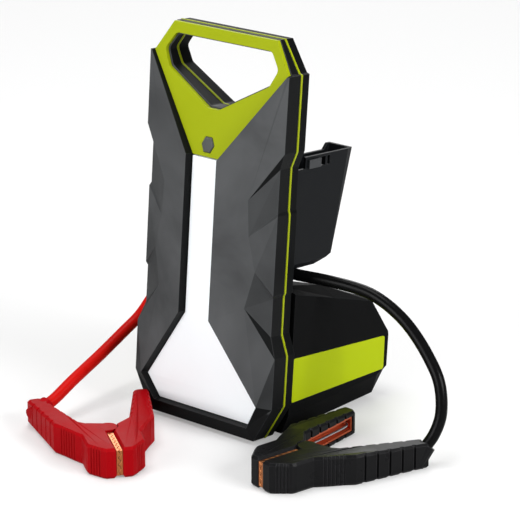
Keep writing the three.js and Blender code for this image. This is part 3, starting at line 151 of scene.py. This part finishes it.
# Handled patches: broad, soft areas where hands have polished or dulled a surface.
patches, given, out = shader_group(
    "handled_patches",
    {"Size": 0.03, "Smooth": 0.3, "Dull": 0.5},
    {"Roughness": "NodeSocketFloat", "Patch": "NodeSocketFloat"},
)
place = node(patches, "ShaderNodeTexCoord")
per_metre = node(patches, "ShaderNodeMath", {0: 1.0}, operation="DIVIDE")
cloud = node(patches, "ShaderNodeTexNoise", {"Detail": 4.0, "Roughness": 0.55, "Distortion": 0.4})
spread = node(patches, "ShaderNodeMapRange", {"From Min": 0.32, "From Max": 0.68})
wire(
    patches,
    (given.outputs["Size"], per_metre.inputs[1]),
    (place.outputs["Object"], cloud.inputs["Vector"]),
    (per_metre.outputs[0], cloud.inputs["Scale"]),
    (cloud.outputs["Fac"], spread.inputs["Value"]),
    (given.outputs["Smooth"], spread.inputs["To Min"]),
    (given.outputs["Dull"], spread.inputs["To Max"]),
    (spread.outputs["Result"], out.inputs["Roughness"]),
    (cloud.outputs["Fac"], out.inputs["Patch"]),
)

# Softened edges: no moulded or pressed edge is knife sharp, and edges are where wear shows first.
edges, given, out = shader_group(
    "softened_edges",
    {"Radius": 0.0006},
    {"Edge": "NodeSocketFloat", "Normal": "NodeSocketVector"},
)
turn = node(edges, "ShaderNodeBevel", samples=6)
flat = node(edges, "ShaderNodeNewGeometry")
agree = node(edges, "ShaderNodeVectorMath", operation="DOT_PRODUCT")
worn = node(edges, "ShaderNodeMapRange", {"From Min": 0.995, "From Max": 0.86})
wire(
    edges,
    (given.outputs["Radius"], turn.inputs["Radius"]),
    (turn.outputs["Normal"], agree.inputs[0]),
    (flat.outputs["Normal"], agree.inputs[1]),
    (agree.outputs["Value"], worn.inputs["Value"]),
    (worn.outputs["Result"], out.inputs["Edge"]),
    (turn.outputs["Normal"], out.inputs["Normal"]),
)


def finish(name, colour, worn_colour, roughness, grain_size=0.0006, grain_depth=0.00004,
           edge=0.0006, patch=0.03, shade=0.12, shine=0.5, metal=0.0):
    """A moulded, pressed or drawn surface.

    The colour is darker or lighter by a share in handled patches and goes to another at worn
    edges. The roughness runs between two values.
    """
    material = bpy.data.materials.new(name)
    material.use_nodes = True
    tree = material.node_tree
    shader = tree.nodes["Principled BSDF"]
    shader.inputs["Specular IOR Level"].default_value = shine
    shader.inputs["Metallic"].default_value = metal
    soft = node(tree, "ShaderNodeGroup", node_tree=edges)
    soft.inputs["Radius"].default_value = edge
    hands = node(tree, "ShaderNodeGroup", node_tree=patches)
    hands.inputs["Size"].default_value = patch
    hands.inputs["Smooth"].default_value, hands.inputs["Dull"].default_value = roughness
    skin = node(tree, "ShaderNodeGroup", node_tree=grain)
    skin.inputs["Size"].default_value = grain_size
    darker = [part * (1 - shade) for part in colour]
    lighter = [min(1, part * (1 + shade)) for part in colour]
    body = node(tree, "ShaderNodeMix", {"A": (*darker, 1), "B": (*lighter, 1)}, data_type="RGBA")
    coloured = node(tree, "ShaderNodeMix", {"B": (*worn_colour, 1)}, data_type="RGBA")
    bump = node(tree, "ShaderNodeBump", {"Strength": 1.0, "Distance": grain_depth})
    wire(
        tree,
        (hands.outputs["Patch"], body.inputs["Factor"]),
        (body.outputs["Result"], coloured.inputs["A"]),
        (soft.outputs["Edge"], coloured.inputs["Factor"]),
        (coloured.outputs["Result"], shader.inputs["Base Color"]),
        (hands.outputs["Roughness"], shader.inputs["Roughness"]),
        (skin.outputs["Height"], bump.inputs["Height"]),
        (soft.outputs["Normal"], bump.inputs["Normal"]),
        (bump.outputs["Normal"], shader.inputs["Normal"]),
    )
    return material


def dress(material, *names):
    """Puts a finish on the solids with these names."""
    for name in names:
        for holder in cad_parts[name].material_slots:
            holder.link = "OBJECT"
            holder.material = material


red_jacket = finish("red_jacket", (0.46, 0.006, 0.004), (0.5, 0.03, 0.02), (0.24, 0.36),
                    grain_size=0.0007, edge=0.0002, patch=0.018, shine=0.05)
black_jacket = finish("black_jacket", (0.003, 0.003, 0.0032), (0.012, 0.012, 0.013), (0.2, 0.3),
                      grain_size=0.0007, edge=0.0002, patch=0.018, shine=0.07)

for colour, side, route, mouth, way, length, jacket in (
    ("red", -1, RED_ROUTE, RED_MOUTH, RED_WAY, RED_LENGTH, red_jacket),
    ("black", 1, BLACK_ROUTE, BLACK_MOUTH, BLACK_WAY, BLACK_LENGTH, black_jacket),
):
    start = Vector((side * BOOT_MOUTH.x, BOOT_MOUTH.y, BOOT_MOUTH.z))
    heading = Vector((side * BOOT_WAY.x, BOOT_WAY.y, BOOT_WAY.z))
    middle = [Vector(point) for point in route]
    points = [start, start + heading * STRAIGHT, *middle, mouth + way * STRAIGHT, mouth]
    line = smooth_line(points, LEAD_STEPS)
    curve = bpy.data.curves.new(f"{colour}_lead", "CURVE")
    curve.dimensions = "3D"
    curve.bevel_depth = LEAD_ACROSS / 2
    curve.bevel_resolution = LEAD_ROUNDNESS
    curve.use_fill_caps = True
    spline = curve.splines.new("POLY")
    spline.points.add(len(line) - 1)
    for point, at in zip(spline.points, line):
        point.co = (*at, 1)
    spline.use_smooth = True
    curve.materials.append(jacket)
    lead = bpy.data.objects.new(f"{colour}_lead", curve)
    bpy.context.scene.collection.objects.link(lead)
    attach(lead, "pack")
    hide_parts(f"{colour}_cable")

# ---------------------------------------------------------------------------------------------
# Lamp body shells
# Two deep half shells of glass-filled charcoal plastic with an etched satin skin. They are held
# together by screws from the back, and their facets stiffen the long flat faces.
# ---------------------------------------------------------------------------------------------
BLACK_SKIN = (0.0045, 0.0049, 0.0051)
# The next colour is a paler grey painted on the front facets as a sheen.
PAINTED_SHEEN_GREY = (0.082, 0.085, 0.088)
FACES_FRONT = (0, -1, 0.08)  # the way that the broad facets look; faces turned this way get the painted sheen
black_shell = finish("black_shell", BLACK_SKIN, (0.022, 0.023, 0.024), (0.4, 0.5),
                     grain_depth=0.00005, edge=0.0008, patch=0.045, shine=0.035)
# The front shell's finish also carries the painted sheen that is set up below.
satin_shell_painted_sheen = finish("satin_shell_painted_sheen", BLACK_SKIN, (0.05, 0.052, 0.055), (0.42, 0.52),
                     grain_depth=0.00005, edge=0.0008, patch=0.045, shine=0.08)

# A painted sheen: the broad facets beside the lamp that face the front, above the foot, are
# painted a paler grey in cloudy patches. The bevels, the sides and the foot are as black as the
# rear shell.
tree = satin_shell_painted_sheen.node_tree
paint = tree.nodes["Principled BSDF"].inputs["Base Color"]
black_part = paint.links[0].from_socket
place = node(tree, "ShaderNodeTexCoord")
forward = node(tree, "ShaderNodeVectorMath", {1: FACES_FRONT}, operation="DOT_PRODUCT")
facet = node(tree, "ShaderNodeMapRange", {"From Min": 0.84, "From Max": 0.96})
sheen_cloud = node(
    tree, "ShaderNodeTexNoise",
    {"Scale": 11.0, "Detail": 4.0, "Roughness": 0.55, "Distortion": 0.8},
)
sheen_patches = node(
    tree, "ShaderNodeMapRange",
    {"From Min": 0.34, "From Max": 0.66, "To Min": 0.5, "To Max": 1.0},
)
height = node(tree, "ShaderNodeSeparateXYZ")
above_foot = node(tree, "ShaderNodeMapRange", {"From Min": 0.026, "From Max": 0.03})
share = node(tree, "ShaderNodeMath", operation="MULTIPLY")
sheen_mask = node(tree, "ShaderNodeMath", operation="MULTIPLY")
skin_and_painted_sheen = node(tree, "ShaderNodeMix", {"B": (*PAINTED_SHEEN_GREY, 1)}, data_type="RGBA")
wire(
    tree,
    (place.outputs["Normal"], forward.inputs[0]),
    (place.outputs["Object"], sheen_cloud.inputs["Vector"]),
    (place.outputs["Object"], height.inputs[0]),
    (forward.outputs["Value"], facet.inputs["Value"]),
    (sheen_cloud.outputs["Fac"], sheen_patches.inputs["Value"]),
    (height.outputs["Z"], above_foot.inputs["Value"]),
    (facet.outputs["Result"], share.inputs[0]),
    (sheen_patches.outputs["Result"], share.inputs[1]),
    (share.outputs[0], sheen_mask.inputs[0]),
    (above_foot.outputs["Result"], sheen_mask.inputs[1]),
    (sheen_mask.outputs[0], skin_and_painted_sheen.inputs["Factor"]),
    (black_part, skin_and_painted_sheen.inputs["A"]),
    (skin_and_painted_sheen.outputs["Result"], paint),
)
dress(satin_shell_painted_sheen, "front_shell")
dress(black_shell, "rear_shell")

# ---------------------------------------------------------------------------------------------
# Handle plate and seam trim
# One lime moulding frames the handle and points down to the lamp, and a thin lime strip is
# trapped all the way round the seam of the shells.
# ---------------------------------------------------------------------------------------------
lime_plate = finish("lime_plate", (0.3, 0.355, 0.002), (0.36, 0.42, 0.01), (0.34, 0.44),
                    grain_depth=0.00003, patch=0.05, shade=0.05, shine=0.1)
dress(lime_plate, "handle_plate", "seam_trim")

# ---------------------------------------------------------------------------------------------
# Lamp
# A frosted white diffuser clips in flush with the facets. A white board behind it carries the
# rows of small lamps.
# ---------------------------------------------------------------------------------------------
PAINTED_GLOW = 0.17  # a faint glow painted on the diffuser to keep it white; the lamps behind it give no light
frosted = finish("frosted_diffuser", (0.76, 0.79, 0.81), (0.9, 0.92, 0.94), (0.35, 0.45),
                 grain_size=0.0008, grain_depth=0.00003, edge=0.0005, shade=0.01)
glow = frosted.node_tree.nodes["Principled BSDF"]
glow.inputs["Emission Color"].default_value = (0.92, 0.97, 1, 1)
glow.inputs["Emission Strength"].default_value = PAINTED_GLOW
lamp_board = finish("lamp_board", (0.8, 0.8, 0.78), (0.9, 0.9, 0.88), (0.3, 0.4),
                    grain_size=0.001, grain_depth=0.00003)
dress(frosted, "lamp_lens")
dress(lamp_board, "led_board")

# ---------------------------------------------------------------------------------------------
# Power button
# A six-sided grey cap slides in a guide in the plate and presses a small switch on a green board
# behind it.
# ---------------------------------------------------------------------------------------------
button_grey = finish("button_grey", (0.06, 0.065, 0.062), (0.14, 0.14, 0.14), (0.3, 0.42),
                     grain_size=0.0005, grain_depth=0.00003, edge=0.0008, shine=0.3)
green_board = finish("green_board", (0.01, 0.09, 0.03), (0.2, 0.16, 0.05), (0.25, 0.4),
                     grain_size=0.0012)
dress(button_grey, "power_button")
dress(green_board, "control_board", "button_switch")

# ---------------------------------------------------------------------------------------------
# Battery box
# A charcoal moulding with a sloping, faceted top is fixed behind the lamp body and holds the
# battery. A lime panel is let into each flank, and a flat cover is screwed on underneath.
# ---------------------------------------------------------------------------------------------
box_plastic = finish("box_plastic", (0.004, 0.0042, 0.0044), (0.02, 0.021, 0.022), (0.38, 0.5),
                     grain_depth=0.00005, edge=0.0008, patch=0.045, shine=0.02)
# The side panels are the same lime as the handle plate, painted lighter to stand in for light on
# the box's flanks.
lime_panel_painted_light = finish("lime_panel_painted_light", (0.38, 0.47, 0.002), (0.42, 0.5, 0.01), (0.36, 0.46),
                    grain_depth=0.00003, patch=0.05, shade=0.05, shine=0.06)
pack_wrap = finish("pack_wrap", (0.02, 0.09, 0.3), (0.1, 0.2, 0.5), (0.2, 0.35),
                   grain_size=0.002, grain_depth=0.00003)
dress(box_plastic, "battery_housing", "base_cover")
dress(lime_panel_painted_light, "side_panel_left", "side_panel_right")
dress(pack_wrap, "battery_pack")

# ---------------------------------------------------------------------------------------------
# Clamp pockets
# An open, tapering pocket hangs behind each side of the lamp body and takes one clamp. A small
# grey tab is let into each outer wall.
# ---------------------------------------------------------------------------------------------
pocket_plastic = finish("pocket_plastic", (0.0058, 0.0066, 0.0078), (0.026, 0.027, 0.029),
                        (0.34, 0.44), grain_depth=0.00005, edge=0.0007, patch=0.04, shine=0.08)
tab_plastic = finish("tab_plastic", (0.035, 0.037, 0.04), (0.06, 0.06, 0.063), (0.34, 0.44),
                     shine=0.3)
dress(pocket_plastic, "clamp_pocket_left", "clamp_pocket_right")
dress(tab_plastic, "pocket_tab_left", "pocket_tab_right")

# ---------------------------------------------------------------------------------------------
# Ports, boots and feet
# The socket block sits under a soft hinged cover. The boots are moulded over the leads, and the
# round feet are pushed into the base cover.
# ---------------------------------------------------------------------------------------------
soft_rubber = finish("soft_rubber", (0.008, 0.008, 0.0085), (0.02, 0.02, 0.021), (0.5, 0.65),
                     grain_size=0.0008, grain_depth=0.00006, patch=0.02, shine=0.2)
dress(box_plastic, "port_block")
dress(soft_rubber, "port_cover", "cable_gland_left", "cable_gland_right")
dress(soft_rubber, *(f"foot_{side}_{i}" for side in ("left", "right") for i in (1, 2)))

# ---------------------------------------------------------------------------------------------
# Screws
# Zinc-plated steel screws with slotted heads. Four hold the shells together from the back, and
# four hold the cover to the battery box from below.
# ---------------------------------------------------------------------------------------------
zinc = finish("zinc_steel", (0.5, 0.5, 0.52), (0.75, 0.75, 0.76), (0.22, 0.38),
              grain_size=0.0009, grain_depth=0.00002, edge=0.0002, metal=1.0)
for kind in ("base", "case"):
    dress(zinc, *(f"{kind}_screw_{side}_{i}" for side in ("left", "right") for i in (1, 2)))

# ---------------------------------------------------------------------------------------------
# Clamps
# Each clamp is two moulded arms on a pin. Toothed copper jaws line the noses, the lever arm has
# a copper-coloured liner in its channel, and a wire spring holds the jaws shut.
# ---------------------------------------------------------------------------------------------
red_grip = finish("red_grip", (0.3, 0.0015, 0.004), (0.36, 0.01, 0.01), (0.36, 0.48),
                  patch=0.02, shine=0.03)
black_grip = finish("black_grip", (0.006, 0.006, 0.0065), (0.03, 0.03, 0.032), (0.26, 0.38),
                    patch=0.02, shine=0.1)
copper_jaw = finish("copper_jaw", (0.5, 0.17, 0.06), (0.8, 0.36, 0.14), (0.26, 0.42),
                    grain_size=0.0008, grain_depth=0.00003, edge=0.0003, metal=1.0)
copper_liner = finish("copper_liner", (0.6, 0.12, 0.045), (0.85, 0.3, 0.13), (0.25, 0.4),
                      grain_size=0.001, grain_depth=0.00003, edge=0.0003, metal=0.7)
for colour, plastic in (("red", red_grip), ("black", black_grip)):
    dress(plastic, f"{colour}_cable_grip", f"{colour}_lever_grip")
    dress(copper_jaw, f"{colour}_cable_jaw", f"{colour}_lever_jaw")
    dress(copper_liner, f"{colour}_lever_liner")
    dress(zinc, f"{colour}_pivot_pin", f"{colour}_spring")

# ---------------------------------------------------------------------------------------------
# Floor and light
# A pale studio floor in a white surround, with broad soft lights at the front left, to the
# right, overhead and behind.
# ---------------------------------------------------------------------------------------------
FLOOR_HALF = 40.0
FLOOR_HEIGHT = -0.0002
FLOOR_GREY = 0.56
FLOOR_LIFT = 0.27  # how much whiter the floor looks to the camera than it is to the lights
SURROUND = 0.22  # strength of the light from all round
LIT_POINT = Vector((0.03, -0.05, 0.12))
LIGHTS = (  # name, place, width, watts
    ("front_light", (-0.5, -2.5, 0.8), 1.6, 52),
    ("right_light", (2.4, 0.0, 1.2), 1.2, 64),
    ("overhead_light", (-0.4, -0.1, 2.3), 1.2, 30),
    ("rear_light", (-1.9, 2.6, 2.2), 1.8, 60),
)

corners = [
    (x * FLOOR_HALF, y * FLOOR_HALF, FLOOR_HEIGHT)
    for x, y in ((-1, -1), (1, -1), (1, 1), (-1, 1))
]
floor_mesh = bpy.data.meshes.new("floor")
floor_mesh.from_pydata(corners, [], [(0, 1, 2, 3)])
floor = bpy.data.objects.new("floor", floor_mesh)
floor_paint = bpy.data.materials.new("floor_paint")
floor_paint.use_nodes = True
tree = floor_paint.node_tree
matt = tree.nodes["Principled BSDF"]
matt.inputs["Base Color"].default_value = (FLOOR_GREY, FLOOR_GREY, FLOOR_GREY, 1)
matt.inputs["Roughness"].default_value = 0.9
matt.inputs["Specular IOR Level"].default_value = 0.0
matt.inputs["Emission Color"].default_value = (1, 1, 1, 1)
seen = node(tree, "ShaderNodeLightPath")
lift = node(tree, "ShaderNodeMath", {1: FLOOR_LIFT}, operation="MULTIPLY")
wire(
    tree,
    (seen.outputs["Is Camera Ray"], lift.inputs[0]),
    (lift.outputs[0], matt.inputs["Emission Strength"]),
)
floor_mesh.materials.append(floor_paint)
bpy.context.scene.collection.objects.link(floor)

for name, at, width, watts in LIGHTS:
    lamp = bpy.data.objects.new(name, bpy.data.lights.new(name, "AREA"))
    lamp.data.size = width
    lamp.data.energy = watts
    lamp.location = at
    lamp.rotation_euler = (LIT_POINT - Vector(at)).to_track_quat("-Z", "Y").to_euler()
    bpy.context.scene.collection.objects.link(lamp)

surround = bpy.data.worlds.new("surround")
surround.use_nodes = True
surround.node_tree.nodes["Background"].inputs["Color"].default_value = (1, 1, 1, 1)
surround.node_tree.nodes["Background"].inputs["Strength"].default_value = SURROUND
bpy.context.scene.world = surround
bpy.context.scene.view_settings.view_transform = "Standard"
